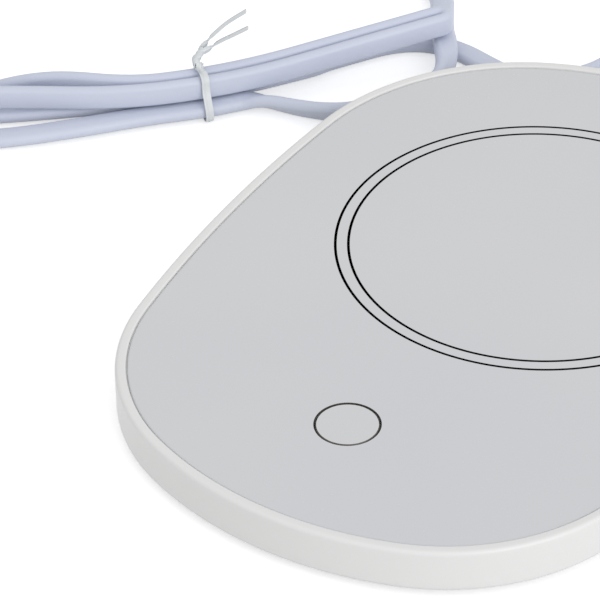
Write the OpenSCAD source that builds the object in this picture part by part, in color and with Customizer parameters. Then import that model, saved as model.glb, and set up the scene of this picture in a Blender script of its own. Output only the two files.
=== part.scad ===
// Electric mug warmer: a slim egg-shaped housing with a warming plate, a flush
// push button and a flat two-core mains lead folded into a tied hank.
// Origin: middle of the box of the body, on the table. +Y points to the back,
// where the lead leaves; the button is at the front. All lengths in mm.

/* [Body outline] */
// Length of the body, front to back
body_l = 168; // [160:1:180]
// Width of the body at its widest place
body_w = 125; // [120:1:132]
// How far the widest place lies ahead of the back end
widest_from_back = 65; // [56:1:72]
// Radius of the arc across the back
back_r = 75; // [70:1:84]
// Radius of the two rear corners
back_corner_r = 53; // [46:1:56]
// Radius of the two flanks
side_r = 340; // [280:10:500]
// Radius of the two front corners
front_corner_r = 46; // [40:1:50]
// Radius of the arc across the front
front_r = 77; // [72:1:90]

/* [Housing] */
// Height of the side wall
wall_h = 9.6; // [9.2:0.1:11]
// Thickness of the side wall, which is also the width of the rim
wall_t = 2.2; // [1.8:0.1:2.6]
// Radius of the rim's top edge
rim_r = 0.8; // [0.4:0.1:0.9]
// Width of the ledge that carries the plate
ledge_w = 4; // [3.4:0.1:5]
// Thickness of that ledge
ledge_t = 1.5; // [1.2:0.1:1.8]
// Thickness of the base cover
base_t = 1.6; // [1.5:0.1:1.8]
// How far the base cover lies up inside the wall
base_recess = 0.2; // [0.1:0.1:0.4]

/* [Feet] */
// Clear height between the table and the wall
foot_gap = 1.8; // [1.4:0.1:2.4]
// Diameter of a foot
foot_d = 12; // [9:0.5:13]
// Depth of a foot's seat in the base cover
foot_seat = 0.8; // [0.5:0.1:0.9]
// Distance between the left and right feet
feet_apart = 58; // [50:1:64]
// Distance of the rear feet from the back end
rear_feet_from_back = 24; // [20:1:30]
// Distance of the front feet from the front end
front_feet_from_front = 20; // [18:1:26]

/* [Warming plate] */
// Thickness of the top plate
plate_t = 2.2; // [1.8:0.1:2.4]
// How far the plate lies below the rim
plate_recess = 0.3; // [0.2:0.05:0.5]
// Gap between the plate and the rim
plate_gap = 0.25; // [0.15:0.05:0.4]
// Thickness of the gasket below the plate
gasket_t = 0.4; // [0.3:0.1:0.6]
// Distance of the heating zone's centre from the back end
zone_from_back = 65.8; // [60:0.2:72]
// Radius of the outer printed ring
print_r = 42; // [38:0.5:43]
// Distance between the two printed rings
print_step = 2.7; // [2:0.1:4]
// Width of a printed line
print_w = 0.42; // [0.3:0.02:0.8]

/* [Heater] */
// How far the heat spreader reaches past the outer printed ring
spreader_past_ring = 2; // [1:0.5:3]
// Thickness of the heat spreader
spreader_t = 1.0; // [0.8:0.1:1.1]
// How far the heating element ends inside the outer printed ring
element_inside_ring = 2; // [1:0.5:4]
// Thickness of the heating element
element_t = 0.4; // [0.3:0.1:0.5]
// Thickness of the plate that clamps the stack
clamp_plate_t = 0.6; // [0.5:0.1:0.7]

/* [Button] */
// Distance of the button from the front end
button_from_front = 31.5; // [29:0.1:34]
// Diameter of the button cap
button_d = 12.6; // [11:0.1:13]
// Gap between the cap and the edge of its hole
button_gap = 0.35; // [0.2:0.05:0.5]
// Travel of the button
button_travel = 0.5; // [0.3:0.05:0.5]
// Diameter of the cap's retaining flange
flange_d = 16; // [15.6:0.1:17]
// Running clearance on the radius in the guide and in the switch
running_gap = 0.05; // [0.03:0.01:0.08]

/* [Board] */
// Width of the circuit board
board_w = 58; // [54:1:60]
// Distance of the board's front edge from the front end
board_from_front = 12; // [10:0.5:13]
// Thickness of the circuit board
board_t = 1.2; // [1.0:0.1:1.3]
// Height of the posts under the board
board_post_h = 0.8; // [0.5:0.1:1]
// Diameter of the wires inside
wire_d = 1.2; // [0.8:0.1:1.3]

/* [Mains lead] */
// Width of the flat lead
lead_w = 5.5; // [5:0.1:5.6]
// Thickness of the flat lead
lead_t = 2.8; // [2.6:0.1:2.8]
// Height of the lead's exit above the table
exit_z = 5.8; // [5.6:0.1:6]
// Length of the tapered strain relief outside the wall
relief_l = 20; // [20:0.5:22]

/* [Hidden] */
$fn = 96;

// small overlap that lets a cutter run clear of a face
cut = 1;

// ---- the outline: tangent arcs, mirrored about the Y axis ----
y_back = body_l/2;
y_front = -body_l/2;
back_c = [0, y_back - back_r];
front_c = [0, y_front + front_r];
side_c = [side_r - body_w/2, y_back - widest_from_back];

// centre of an arc of radius r that touches two larger arcs from inside
function inner_touch(c1, r1, c2, r2, r, turn) =
    let(a = r1 - r, b = r2 - r, d = norm(c2 - c1), e = (c2 - c1)/d,
        along = (a*a - b*b + d*d)/(2*d), off = sqrt(max(0, a*a - along*along)))
    c1 + along*e + turn*off*[-e[1], e[0]];
// compass angle from a to b, from 0 to 360
function angle_to(a, b) = let(v = b - a, k = atan2(v[1], v[0])) k < 0 ? k + 360 : k;
function mirrored(arc) = [[-arc[0][0], arc[0][1]], arc[1], 180 - arc[2] - arc[3], arc[3]];

back_corner_c = inner_touch(back_c, back_r, side_c, side_r, back_corner_r, 1);
front_corner_c = inner_touch(front_c, front_r, side_c, side_r, front_corner_r, -1);
back_turn = angle_to(back_c, back_corner_c);
side_turn = angle_to(side_c, back_corner_c);
side_end = angle_to(side_c, front_corner_c);
front_turn = angle_to(front_c, front_corner_c);

// each arc: centre, radius, first angle, sweep, counter-clockwise from the back
left_arcs = [
    [back_corner_c, back_corner_r, back_turn, side_turn - back_turn],
    [side_c, side_r, side_turn, side_end - side_turn],
    [front_corner_c, front_corner_r, side_end, front_turn - side_end]];
arcs = concat(
    [[back_c, back_r, 180 - back_turn, 2*(back_turn - 90)]],
    left_arcs,
    [[front_c, front_r, front_turn, 2*(270 - front_turn)]],
    [for (k = [2, 1, 0]) mirrored(left_arcs[k])]);

// a place on an arc, inset from the outline, at a share of the arc's sweep
function rim_point(arc, share, inset) =
    let(a = arc[2] + share*arc[3]) arc[0] + (arc[1] - inset)*[cos(a), sin(a)];
// the outline inset by a distance, as points about 3.2 mm apart
outline_step = 3.2;
function outline(inset) = [for (arc = arcs)
    let(n = ceil(arc[1]*arc[3]*PI/180/outline_step))
    for (k = [0:n - 1]) rim_point(arc, k/n, inset)];
outline_count = len(outline(0));

// closed skin through outlines given as [inset, height], from the top down
module outline_loft(levels) {
    n = outline_count;
    points = [for (l = levels) for (p = outline(l[0])) [p[0], p[1], l[1]]];
    last = (len(levels) - 1)*n;
    walls = [for (k = [0:len(levels) - 2]) for (i = [0:n - 1])
        let(j = (i + 1)%n) each [[k*n + i, k*n + j, (k + 1)*n + i],
            [k*n + j, (k + 1)*n + j, (k + 1)*n + i]]];
    polyhedron(points, concat([[for (i = [n - 1:-1:0]) i]], walls,
        [[for (i = [0:n - 1]) last + i]]), convexity = 4);
}
// flat slab with the outline's shape
module outline_slab(inset, z0, z1) {
    translate([0, 0, z0]) linear_extrude(z1 - z0) polygon(outline(inset));
}

// ---- heights, from the table up ----
wall_z0 = foot_gap;
rim_z = wall_z0 + wall_h;
plate_z1 = rim_z - plate_recess;
plate_z0 = plate_z1 - plate_t;
ledge_z1 = plate_z0 - gasket_t;
ledge_z0 = ledge_z1 - ledge_t;
base_z0 = wall_z0 + base_recess;
base_z1 = base_z0 + base_t;
spreader_z0 = plate_z0 - spreader_t;
element_z0 = spreader_z0 - element_t;
// the mains wires run on the base, below the plate that clamps the heater
wire_gap = 0.2;
wire_z = base_z1 + wire_gap + wire_d/2;
clamp_z0 = wire_z + wire_d/2 + wire_gap;
pad_z0 = clamp_z0 + clamp_plate_t;
pad_t = element_z0 - pad_z0;

zone = [0, y_back - zone_from_back];
ink_t = 0.06;
spreader_r = print_r + spreader_past_ring;
element_r = print_r - element_inside_ring;
ledge_inset = wall_t + ledge_w;
plate_inset = wall_t + plate_gap;
base_gap = 0.2;

// screws and the pads, bosses and holes that take them
thread_d = 2.3;
thread_gap = 0.05;
head_d = 4.2;
head_h = 1.1;
base_pad_h = 1;
boss_d = 6.4;
boss_inset = 8;
boss_gap = 0.1;
// each screw's arc and its share along it: those at the front corners clear the feet
corner_share = 0.25;
screw_arcs = [[1, 0.5], [2, 0.5], [3, corner_share], [5, 1 - corner_share], [6, 0.5], [7, 0.5]];
screw_places = [for (k = screw_arcs) rim_point(arcs[k[0]], k[1], boss_inset)];
// at a screw, turned so that +X points to the wall
module at_screw(k, z) {
    arc = arcs[screw_arcs[k][0]];
    translate([screw_places[k][0], screw_places[k][1], z])
        rotate(arc[2] + screw_arcs[k][1]*arc[3]) children();
}
boss_z0 = base_z1 + base_pad_h + boss_gap;
boss_z1 = ledge_z1;
hole_z1 = boss_z1 - 1;

foot_places = [for (s = [-1, 1], y = [y_back - rear_feet_from_back, y_front + front_feet_from_front])
    [s*feet_apart/2, y]];

button_at = [0, y_front + button_from_front];
button_hole_r = button_d/2 + button_gap;

// ---- the lead's exit ----
relief_neck = [lead_w + 3.5, lead_t + 1.4];
relief_gap = 0.1;
relief_flange_w = relief_neck[0] + 3.5;
relief_flange_t = 1.4;
// the flange lies behind the curved wall, its corners just clear of it
relief_flange_y = back_c[1] + sqrt(pow(back_r - wall_t, 2) - pow(relief_flange_w/2, 2)) - 0.05;
exit_hole = [relief_neck[0] + 2*relief_gap, relief_neck[1] + 2*relief_gap];

module housing() {
    edge_r = 1;
    rim_steps = 4;
    rim_inner_r = 0.3;
    rib_t = 1.6;
    outside = concat(
        [for (k = [0:rim_steps]) let(a = 90*k/rim_steps)
            [rim_r*(1 - sin(a)), rim_z - rim_r*(1 - cos(a))]],
        [for (k = [0:2]) let(a = 45*k)
            [edge_r*(1 - cos(a)), wall_z0 + edge_r*(1 - sin(a))]]);
    color([0.95, 0.95, 0.94]) difference() {
        union() {
            difference() {
                outline_loft(outside);
                outline_slab(wall_t, wall_z0 - cut, ledge_z0);
                outline_slab(ledge_inset, wall_z0 - cut, rim_z);
                outline_loft([[wall_t - rim_inner_r - cut, rim_z + cut],
                    [wall_t - rim_inner_r, rim_z], [wall_t, rim_z - rim_inner_r],
                    [wall_t, ledge_z1]]);
            }
            for (p = screw_places) translate([p[0], p[1], boss_z0])
                cylinder(d = boss_d, h = boss_z1 - boss_z0);
            // ribs that tie each boss to the wall
            for (k = [0:len(screw_arcs) - 1]) at_screw(k, boss_z0)
                translate([0, -rib_t/2, 0]) cube([boss_inset - wall_t/2, rib_t, ledge_z0 - boss_z0 + 0.5]);
        }
        for (p = screw_places) translate([p[0], p[1], boss_z0 - cut])
            cylinder(d = thread_d + 2*thread_gap, h = hole_z1 - boss_z0 + cut);
        // way out for the strain relief
        translate([-exit_hole[0]/2, y_back - ledge_inset - cut, exit_z - exit_hole[1]/2])
            cube([exit_hole[0], ledge_inset + 2*cut, exit_hole[1]]);
        // pocket in the ledge for the relief's flange
        translate([-relief_flange_w/2 - relief_gap, y_back - ledge_inset - cut, wall_z0])
            cube([relief_flange_w + 2*relief_gap, ledge_inset + cut - (y_back - relief_flange_y) + 0.05,
                exit_z + exit_hole[1]/2 - wall_z0]);
    }
}

// ---- base cover, feet and screws ----
small_thread_d = 1.9;
small_head_d = 3.4;
small_head_h = 0.8;
post_d = 4.6;
post_hole_z0 = base_z0 + foot_seat + 0.1;
small_tip_z = post_hole_z0 + 0.1;

clamp_plate_r = element_r + 2;
ear_w = 7;
ear_reach = element_r + 4.5;
ear_places = [for (a = [30, 150, 210, 330]) zone + ear_reach*[cos(a), sin(a)]];

// the board lies between the heater and the front wall
board_gap = 1;
board_back_y = zone[1] - spreader_r - board_gap;
board_front_y = y_front + board_from_front;
board_z0 = base_z1 + board_post_h;
board_z1 = board_z0 + board_t;
board_screw_inset = 3;
board_hole_places = [for (sx = [-1, 1], y = [board_back_y - board_screw_inset,
    board_front_y + board_screw_inset]) [sx*(board_w/2 - board_screw_inset), y]];

saddle_y = y_back - 12;
saddle_d = 5;
cord_clamp_reach = lead_w/2 + 3.2;
cord_under_z = exit_z - lead_t/2;
cord_over_z = exit_z + lead_t/2;
cord_clamp_t = 1.2;

module base_cover() {
    rim_lip_w = 1.4;
    rim_lip_h = 0.8;
    color([0.93, 0.93, 0.92]) difference() {
        union() {
            outline_slab(wall_t + base_gap, base_z0, base_z1);
            // lip that stiffens the edge and keeps the wall from bowing in
            difference() {
                outline_slab(wall_t + base_gap, base_z1 - 0.1, base_z1 + rim_lip_h);
                outline_slab(wall_t + base_gap + rim_lip_w, base_z1 - cut, base_z1 + rim_lip_h + cut);
                for (k = [0:len(screw_arcs) - 1]) at_screw(k, base_z1)
                    translate([0, -2, 0]) cube([2*boss_inset, 4, rim_lip_h + cut]);
                translate([-9, y_back - 12, base_z1]) cube([18, 14, rim_lip_h + cut]);
            }
            for (p = screw_places) translate([p[0], p[1], base_z1 - 0.1])
                cylinder(d = boss_d + 1, h = base_pad_h + 0.1);
            for (p = board_hole_places) translate([p[0], p[1], base_z1 - 0.1])
                cylinder(d = post_d, h = board_z0 - base_z1 + 0.1);
            for (p = ear_places) translate([p[0], p[1], base_z1 - 0.1])
                cylinder(d = post_d, h = clamp_z0 - base_z1 + 0.1);
            // saddle under the lead and the two posts of its clamp
            translate([-lead_w/2, saddle_y - saddle_d/2, base_z1 - 0.1])
                cube([lead_w, saddle_d, cord_under_z - base_z1 + 0.1]);
            for (s = [-1, 1]) translate([s*cord_clamp_reach, saddle_y, base_z1 - 0.1])
                cylinder(d = post_d, h = cord_over_z - base_z1 + 0.1);
        }
        for (p = screw_places) translate([p[0], p[1], base_z0 - cut]) {
            cylinder(d = thread_d + 0.4, h = 3*base_t);
            cylinder(d = head_d + 0.6, h = cut + head_h + 0.2);
        }
        for (p = foot_places) translate([p[0], p[1], base_z0 - cut])
            cylinder(d = foot_d, h = cut + foot_seat);
        for (p = concat(board_hole_places, ear_places,
                [for (s = [-1, 1]) [s*cord_clamp_reach, saddle_y]]))
            translate([p[0], p[1], post_hole_z0])
                cylinder(d = small_thread_d + 2*thread_gap, h = rim_z);
    }
}

module rubber_feet() {
    foot_edge = 0.5;
    color([0.8, 0.8, 0.8]) for (p = foot_places) translate([p[0], p[1], 0])
        rotate_extrude() polygon([[0, 0], [foot_d/2 - foot_edge, 0], [foot_d/2, foot_edge],
            [foot_d/2, base_z0 + foot_seat], [0, base_z0 + foot_seat]]);
}

// pan-head screw, its head below z = 0 and its shank above
module screw_up(shank_d, shank_l, d, h) {
    slot = 0.5;
    translate([0, 0, -h]) difference() {
        union() {
            cylinder(d = d, h = h);
            cylinder(d = shank_d, h = h + shank_l);
        }
        for (a = [0, 90]) rotate(a) translate([-d/3, -slot/2, -cut]) cube([2*d/3, slot, cut + h/2]);
    }
}
module screw_down(shank_d, shank_l, d, h) {
    mirror([0, 0, 1]) screw_up(shank_d, shank_l, d, h);
}

module base_screws() {
    seat_z = base_z0 + head_h + 0.2;
    color([0.75, 0.76, 0.78]) for (p = screw_places) translate([p[0], p[1], seat_z])
        screw_up(thread_d, hole_z1 - 0.4 - seat_z, head_d, head_h);
}

// ---- top plate, its seal and its print ----
module top_plate() {
    bevel = 0.35;
    color([0.86, 0.87, 0.88]) difference() {
        outline_loft([[plate_inset + bevel, plate_z1], [plate_inset, plate_z1 - bevel],
            [plate_inset, plate_z0]]);
        translate([button_at[0], button_at[1], plate_z0 - cut])
            cylinder(r = button_hole_r, h = plate_t + 2*cut);
        print_lines(cut);
    }
}

module plate_gasket() {
    color([0.85, 0.85, 0.85]) difference() {
        outline_slab(plate_inset + 0.2, ledge_z1, plate_z0);
        outline_slab(ledge_inset - 0.3, ledge_z1 - cut, plate_z0 + cut);
    }
}

// the two printed lines, flush with the plate's face, so that a mug lies flat on it
module print_lines(above) {
    for (r = [print_r, print_r - print_step])
        translate([zone[0], zone[1], plate_z1 - ink_t]) difference() {
            cylinder(r = r + print_w/2, h = ink_t + above, $fn = 180);
            translate([0, 0, -cut]) cylinder(r = r - print_w/2, h = ink_t + above + 2*cut, $fn = 180);
        }
}

module ring_print() {
    color([0.08, 0.08, 0.08]) print_lines(0);
}

// ---- heater stack ----
fuse_at = zone + [14, 0];
fuse_d = 2.2;
fuse_l = 9;
fuse_gap = 0.3;
sensor_at = zone + [-14, 0];
sensor_d = 1.8;
sensor_l = 5;
tab_x = 12;
tab_w = 4;
tab_l = 5;

module heat_spreader() {
    color([0.78, 0.79, 0.8]) translate([zone[0], zone[1], spreader_z0])
        cylinder(r = spreader_r, h = spreader_t);
}

module heating_element() {
    color([0.72, 0.6, 0.35]) translate([zone[0], zone[1], element_z0]) {
        cylinder(r = element_r, h = element_t);
        for (s = [-1, 1]) translate([s*tab_x - tab_w/2, -element_r - tab_l, 0])
            cube([tab_w, 2*tab_l, element_t]);
    }
}

module insulation_pad() {
    color([0.9, 0.89, 0.84]) difference() {
        translate([zone[0], zone[1], pad_z0]) cylinder(r = element_r, h = pad_t);
        translate([fuse_at[0] - fuse_l/2 - fuse_gap, fuse_at[1] - fuse_d/2 - fuse_gap, pad_z0 - cut])
            cube([fuse_l + 2*fuse_gap, fuse_d + 2*fuse_gap, pad_t + 2*cut]);
        translate([sensor_at[0] - sensor_l/2 - fuse_gap, sensor_at[1] - sensor_d/2 - fuse_gap,
                pad_z0 - cut])
            cube([sensor_l + 2*fuse_gap, sensor_d + 2*fuse_gap, pad_t + 2*cut]);
    }
}

module thermal_fuse() {
    body_z = element_z0 - fuse_d/2;
    color([0.9, 0.9, 0.86]) translate([fuse_at[0] - fuse_l/2, fuse_at[1], body_z])
        rotate([0, 90, 0]) cylinder(d = fuse_d, h = fuse_l);
}

module temperature_sensor() {
    body_z = element_z0 - sensor_d/2;
    color([0.5, 0.25, 0.15]) translate([sensor_at[0] - sensor_l/2, sensor_at[1], body_z])
        rotate([0, 90, 0]) cylinder(d = sensor_d, h = sensor_l);
}

module clamp_plate() {
    window = 3.4;
    arm_w = ear_w - 1.5;
    color([0.7, 0.71, 0.73]) difference() {
        translate([0, 0, clamp_z0]) union() {
            translate(zone) cylinder(r = clamp_plate_r, h = clamp_plate_t);
            for (p = ear_places) {
                translate(p) cylinder(d = ear_w, h = clamp_plate_t);
                translate(zone) rotate(angle_to(zone, p)) translate([element_r - 4, -arm_w/2, 0])
                    cube([ear_reach - element_r + 4, arm_w, clamp_plate_t]);
            }
        }
        for (p = ear_places) translate([p[0], p[1], clamp_z0 - cut])
            cylinder(d = small_thread_d + 0.3, h = clamp_plate_t + 2*cut);
        for (p = [fuse_at, sensor_at])
            translate([p[0] - fuse_l/2 - 1, p[1] - window/2, clamp_z0 - cut])
                cube([fuse_l + 2, window, clamp_plate_t + 2*cut]);
    }
}

module clamp_plate_screws() {
    color([0.75, 0.76, 0.78]) for (p = ear_places)
        translate([p[0], p[1], pad_z0])
            screw_down(small_thread_d, pad_z0 - small_tip_z, small_head_d, small_head_h);
}

// ---- circuit board and its parts ----
switch_w = 6;
switch_z1 = plate_z0 - 1.6;
switch_bore_z0 = board_z1 + 0.3;
plunger_d = 3;
plunger_z1 = switch_z1 + button_travel + 0.1;

module control_board() {
    color([0.12, 0.42, 0.22]) translate([0, 0, board_z0]) difference() {
        translate([-board_w/2, board_front_y, 0])
            cube([board_w, board_back_y - board_front_y, board_t]);
        for (p = board_hole_places) translate([p[0], p[1], -cut])
            cylinder(d = small_thread_d + 0.3, h = board_t + 2*cut);
    }
}

module board_screws() {
    color([0.75, 0.76, 0.78]) for (p = board_hole_places) translate([p[0], p[1], board_z1])
        screw_down(small_thread_d, board_z1 - small_tip_z, small_head_d, small_head_h);
}

// a part on the board: its middle across, its distance from the front or the back edge
module from_front(x, d) {
    translate([x, board_front_y + d, board_z1]) children();
}
module from_back(x, d) {
    translate([x, board_back_y - d, board_z1]) children();
}
// a chip, w wide, d deep and h high, standing on its middle
module chip(w, d, h) {
    translate([-w/2, -d/2, 0]) cube([w, d, h]);
}

// controller and rectifier near the back edge, power switch and resistors near the front
chips_in = 9;
front_row_in = 10;
chip_l = 4;
controller_x = 18;
controller_w = 5;
controller_h = 1.5;
rectifier_x = 17;
rectifier_w = 4.6;
rectifier_h = 1.6;
power_switch_x = 17;
power_switch_w = 6.6;
power_switch_l = 6;
power_switch_h = 2.2;
resistor_x = 24;
resistor_pitch = 3.2;
resistor_w = 1.6;
resistor_l = 0.8;
resistor_h = 0.5;

module board_chips() {
    color([0.1, 0.1, 0.11]) {
        from_back(-controller_x, chips_in) chip(controller_w, chip_l, controller_h);
        from_back(rectifier_x, chips_in) chip(rectifier_w, chip_l, rectifier_h);
        from_front(power_switch_x, front_row_in)
            chip(power_switch_w, power_switch_l, power_switch_h);
        for (k = [0:4]) from_front(resistor_pitch*k - resistor_x, front_row_in)
            chip(resistor_w, resistor_l, resistor_h);
    }
}

module film_capacitor() {
    color([0.75, 0.68, 0.3]) from_front(-16, 5) chip(10, 4, 2.3);
}

module status_led() {
    dome_d = 2.2;
    color([0.95, 0.95, 0.8]) from_back(-12, 13) difference() {
        chip(3.2, 2.8, 1.2);
        translate([0, 0, 0.8]) cylinder(d = dome_d, h = cut);
    }
}

module switch_body() {
    color([0.15, 0.15, 0.16]) difference() {
        translate([button_at[0] - switch_w/2, button_at[1] - switch_w/2, board_z1])
            cube([switch_w, switch_w, switch_z1 - board_z1]);
        translate([button_at[0], button_at[1], switch_bore_z0])
            cylinder(r = plunger_d/2 + running_gap, h = switch_z1 - switch_bore_z0 + cut);
    }
}

module switch_plunger() {
    plunger_z0 = switch_bore_z0 + button_travel + 0.1;
    color([0.85, 0.82, 0.7]) translate([button_at[0], button_at[1], plunger_z0])
        cylinder(d = plunger_d, h = plunger_z1 - plunger_z0);
}

// ---- push button ----
flange_z1 = plate_z0 - 0.2;
cap_drop = 0.05;
guide_d = flange_d + 3;
guide_z0 = board_z1 + 0.3;

module button_cap() {
    cap_z1 = plate_z1 - cap_drop;
    bevel = 0.2;
    color([0.87, 0.88, 0.89]) translate([button_at[0], button_at[1], 0]) rotate_extrude()
        polygon([[0, plunger_z1], [flange_d/2, plunger_z1], [flange_d/2, flange_z1],
            [button_d/2, flange_z1], [button_d/2, cap_z1 - bevel],
            [button_d/2 - bevel, cap_z1], [0, cap_z1]]);
}

module button_guide() {
    guide_h = plate_z0 - guide_z0;
    color([0.3, 0.3, 0.32]) translate([button_at[0], button_at[1], guide_z0]) difference() {
        cylinder(d = guide_d, h = guide_h);
        translate([0, 0, -cut]) cylinder(r = flange_d/2 + running_gap, h = guide_h + 2*cut);
    }
}

// ---- lead inside the housing ----
module cord_clamp() {
    reach = cord_clamp_reach + post_d/2;
    color([0.2, 0.2, 0.22]) translate([0, saddle_y, cord_over_z]) difference() {
        translate([-reach, -saddle_d/2, 0]) cube([2*reach, saddle_d, cord_clamp_t]);
        for (s = [-1, 1]) translate([s*cord_clamp_reach, 0, -cut]) {
            cylinder(d = small_thread_d + 0.3, h = cord_clamp_t + 2*cut);
            translate([0, 0, cut + cord_clamp_t - small_head_h])
                cylinder(d = small_head_d + 0.2, h = 2*cut);
        }
    }
}

module cord_clamp_screws() {
    color([0.75, 0.76, 0.78]) for (s = [-1, 1])
        translate([s*cord_clamp_reach, saddle_y, cord_over_z + cord_clamp_t - small_head_h])
            screw_down(small_thread_d, cord_over_z + cord_clamp_t - small_head_h - small_tip_z,
                small_head_d, small_head_h);
}

inner_cord_y1 = relief_flange_y - relief_flange_t;
inner_cord_y0 = saddle_y - saddle_d/2 - 2;

// the flat lead's section, as two round cores joined
module lead_section() {
    square([lead_w - lead_t, lead_t], center = true);
    for (s = [-1, 1]) translate([s*(lead_w - lead_t)/2, 0]) circle(d = lead_t, $fn = 32);
}

module inner_cord() {
    color([0.84, 0.86, 0.92]) translate([0, inner_cord_y1, exit_z]) rotate([90, 0, 0])
        linear_extrude(inner_cord_y1 - inner_cord_y0) lead_section();
}

module strain_relief() {
    root = [lead_w + 4.5, lead_t + 2.8];
    tip = [lead_w + 1.5, lead_t + 1.4];
    ribs = 5;
    rib_start = 0.3;
    rib_l = (relief_l - rib_start)/(2*ribs);
    color([0.84, 0.86, 0.92]) {
        translate([-relief_flange_w/2, inner_cord_y1, exit_z - relief_neck[1]/2])
            cube([relief_flange_w, relief_flange_t, relief_neck[1]]);
        translate([-relief_neck[0]/2, inner_cord_y1, exit_z - relief_neck[1]/2])
            cube([relief_neck[0], y_back + 1 - inner_cord_y1, relief_neck[1]]);
        // ribs on a slimmer core, getting smaller towards the lead
        translate([-tip[0]/2, y_back, exit_z - tip[1]/2]) cube([tip[0], relief_l, tip[1]]);
        for (k = [0:ribs - 1]) {
            share = k/(ribs - 1);
            size = (1 - share)*root + share*[tip[0] + 0.8, tip[1] + 0.6];
            translate([-size[0]/2, y_back + rib_start + 2*k*rib_l, exit_z - size[1]/2])
                cube([size[0], rib_l, size[1]]);
        }
    }
}

// ---- swept tubes ----
function unit(v) = v/norm(v);
// a section of w by t, with sides corners, as [across, through] pairs
function flat_section(w, t, sides) = [for (k = [0:sides - 1])
    let(a = 360*k/sides, c = cos(a), s = sin(a))
    [(abs(c) < 0.01 ? 0 : sign(c))*(w - t)/2 + c*t/2, s*t/2]];
// one ring: the section set square to the path, turned by the roll in p[3]
function ring_at(p, ahead, section) =
    let(along = unit(ahead), side = unit([-along[1], along[0], 0]), up = cross(along, side),
        across = cos(p[3])*side + sin(p[3])*up, through = cos(p[3])*up - sin(p[3])*side)
    [for (q = section) [p[0], p[1], p[2]] + q[0]*across + q[1]*through];
function xyz(p) = [p[0], p[1], p[2]];
function ahead_at(path, i) =
    xyz(path[min(i + 1, len(path) - 1)]) - xyz(path[max(i - 1, 0)]);
module tube(path, section) {
    m = len(section);
    n = len(path);
    points = [for (i = [0:n - 1]) each ring_at(path[i], ahead_at(path, i), section)];
    walls = [for (i = [0:n - 2]) for (k = [0:m - 1]) let(l = (k + 1)%m)
        each [[i*m + k, (i + 1)*m + k, i*m + l], [i*m + l, (i + 1)*m + k, (i + 1)*m + l]]];
    caps = [for (k = [1:m - 2]) each [[0, k, k + 1],
        [(n - 1)*m, (n - 1)*m + k + 1, (n - 1)*m + k]]];
    polyhedron(points, concat(walls, caps), convexity = 10);
}
// a smooth curve through the points of a route, with steps rings between them
function between(a, b, c, d, t) =
    0.5*((2*b) + (c - a)*t + (2*a - 5*b + 4*c - d)*t*t + (3*b - a - 3*c + d)*t*t*t);
function smooth(route, steps) = concat(
    [for (i = [0:len(route) - 2]) for (k = [0:steps - 1])
        between(route[max(i - 1, 0)], route[i], route[i + 1],
            route[min(i + 2, len(route) - 1)], k/steps)],
    [route[len(route) - 1]]);

// ---- wires inside ----
solder_gap = 0.1;
module mains_wires() {
    section = flat_section(wire_d, wire_d, 8);
    land_x = 18;
    wires_apart = 2.4;
    over_z = board_z1 + solder_gap + wire_d/2;
    for (k = [0, 1]) color([[0.45, 0.25, 0.15], [0.2, 0.35, 0.7]][k]) {
        x0 = (k - 0.5)*(lead_w/2);
        x1 = land_x - 6 + k*wires_apart;
        x2 = land_x + k*wires_apart;
        y0 = inner_cord_y0 - solder_gap;
        y1 = board_back_y;
        tube(smooth([[x0, y0, exit_z, 0], [x0, y0 - 2, exit_z, 0],
            [x0 + 1, y0 - 6, wire_z + 0.3, 0], [(x0 + x1)/2, y0 - 14, wire_z, 0],
            [x1, y0 - 24, wire_z, 0], [x1, (y0 + y1)/2, wire_z, 0], [x1, y1 + 20, wire_z, 0],
            [x2, y1 + 6, wire_z, 0], [x2, y1 + 2.5, wire_z + 0.8, 0],
            [x2, y1 - 0.3, over_z + 0.2, 0], [x2, y1 - 4, over_z, 0]], 2), section);
    }
}

module heater_wires() {
    section = flat_section(wire_d, wire_d, 8);
    tab_y = zone[1] - element_r - tab_l;
    tab_z = element_z0 - solder_gap - wire_d/2;
    over_z = board_z1 + solder_gap + wire_d/2;
    for (s = [-1, 1]) color([0.92, 0.92, 0.9])
        tube(smooth([[s*tab_x, tab_y + 3, tab_z, 0], [s*tab_x, tab_y, tab_z, 0],
            [s*tab_x, tab_y - 2, over_z + 0.3, 0], [s*(tab_x + 1), tab_y - 4, over_z, 0],
            [s*(tab_x + 2), tab_y - 6, over_z, 0]], 2), section);
}

// ---- free lead, hank and plug ----
// Each place is [x, y, height of the lead's middle, roll]; a roll of 90 stands the
// flat lead on its edge, 0 and 180 lay it flat.
lead_route = [
    [0, y_back + relief_l, exit_z, 180], [0, 108, 5.75, 178], [-0.6, 112, 5.1, 160],
    [-2.6, 116, 4.2, 130], [-7, 119.3, 3.4, 105], [-13, 120, 2.9, 90],
    [-19.5, 117.5, 2.9, 90], [-24, 112, 2.9, 90], [-26.5, 105, 2.9, 90], [-27.3, 97, 2.9, 92],
    [-28.5, 89.5, 2.9, 105], [-31.5, 84, 2.6, 130], [-36.5, 80.3, 1.9, 165],
    [-43, 78.9, 1.5, 180], [-50.5, 79.8, 1.5, 180], [-58.5, 81.2, 1.5, 180],
    [-65.5, 80.8, 1.5, 180], [-70.8, 78.3, 1.5, 180], [-75.1, 74, 1.5, 180],
    [-78.9, 67.8, 1.5, 180], [-82.4, 61.2, 1.6, 180]];

// The hank: a spine that bends at the tie, and four runs beside and on each other.
tie_at = [-96.2, 32.9];
tie_heading = 50;
spine_r = 120;
spine_bend = [-30, 22];
left_end = -118;
right_end = 56;
end_stagger = 12;
waist_half = 8;
waist_drop = 24;
waist_fade = 40;
hank_start = 22;
hank_stop = 3;
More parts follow.
